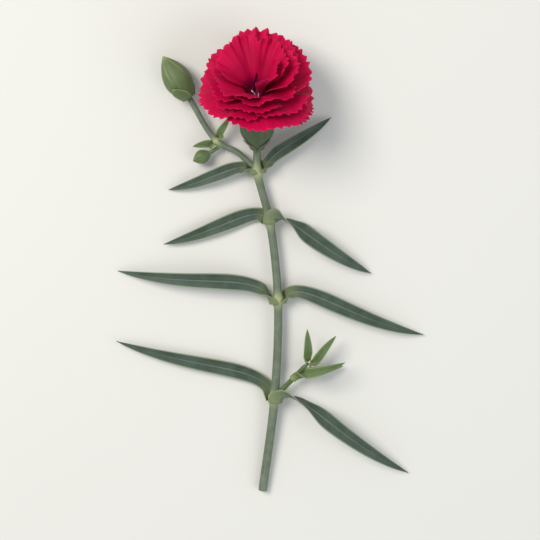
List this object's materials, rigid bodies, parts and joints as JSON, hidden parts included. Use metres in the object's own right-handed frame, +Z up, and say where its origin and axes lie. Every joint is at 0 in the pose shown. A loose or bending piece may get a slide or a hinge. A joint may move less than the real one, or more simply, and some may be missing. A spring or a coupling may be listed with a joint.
{
  "type": "cut carnation",
  "caption": "Crimson mini carnation picked with its stem, grey-green leaves and side buds, lying on its side with the open flower raised towards the viewer.",
  "frame": {"origin": "bottom centre of the bounding box of the whole stem as it lies on a flat surface", "axes": "+Z up from the surface, +Y from the cut end of the stem towards the flower, +X to the right seen from above"},
  "size_m": [0.0924, 0.1398, 0.0339],
  "materials": {
    "petal": "velvety matte",
    "pistil": "matte",
    "ovary": "satin",
    "calyx": "satin",
    "bud": "satin",
    "stem": "satin",
    "leaf": "waxy matte",
    "young_leaf": "satin"
  },
  "bodies": {
    "root": {"stem": "stem", "side_stem": "stem", "calyx": "calyx", "ovary": "ovary", "style_1": "pistil", "style_2": "pistil", "bud": "bud", "small_bud": "bud", "bud_bract_1": "bud", "bud_bract_2": "bud", "small_bud_stalk": "young_leaf", "shoot_stem": "young_leaf", "side_bract_left": "young_leaf", "side_bract_right": "young_leaf", "epicalyx_bract_1": "calyx", "shoot_leaf_1": "young_leaf", "epicalyx_bract_2": "calyx", "shoot_leaf_2": "young_leaf", "epicalyx_bract_3": "calyx", "shoot_leaf_3": "young_leaf", "epicalyx_bract_4": "calyx", "shoot_leaf_4": "young_leaf", "leaf_1_right": "leaf", "leaf_1_left": "leaf", "leaf_2_right": "leaf", "leaf_2_left": "leaf", "leaf_3_right": "leaf", "leaf_3_left": "leaf", "leaf_4_right": "leaf", "leaf_4_left": "leaf", "petal_01": "petal", "petal_02": "petal", "petal_03": "petal", "petal_04": "petal", "petal_05": "petal", "petal_06": "petal", "petal_07": "petal", "petal_08": "petal", "petal_09": "petal", "petal_10": "petal", "petal_11": "petal", "petal_12": "petal", "petal_13": "petal", "petal_14": "petal", "petal_15": "petal", "petal_16": "petal", "petal_17": "petal"}
  },
  "joints": []
}
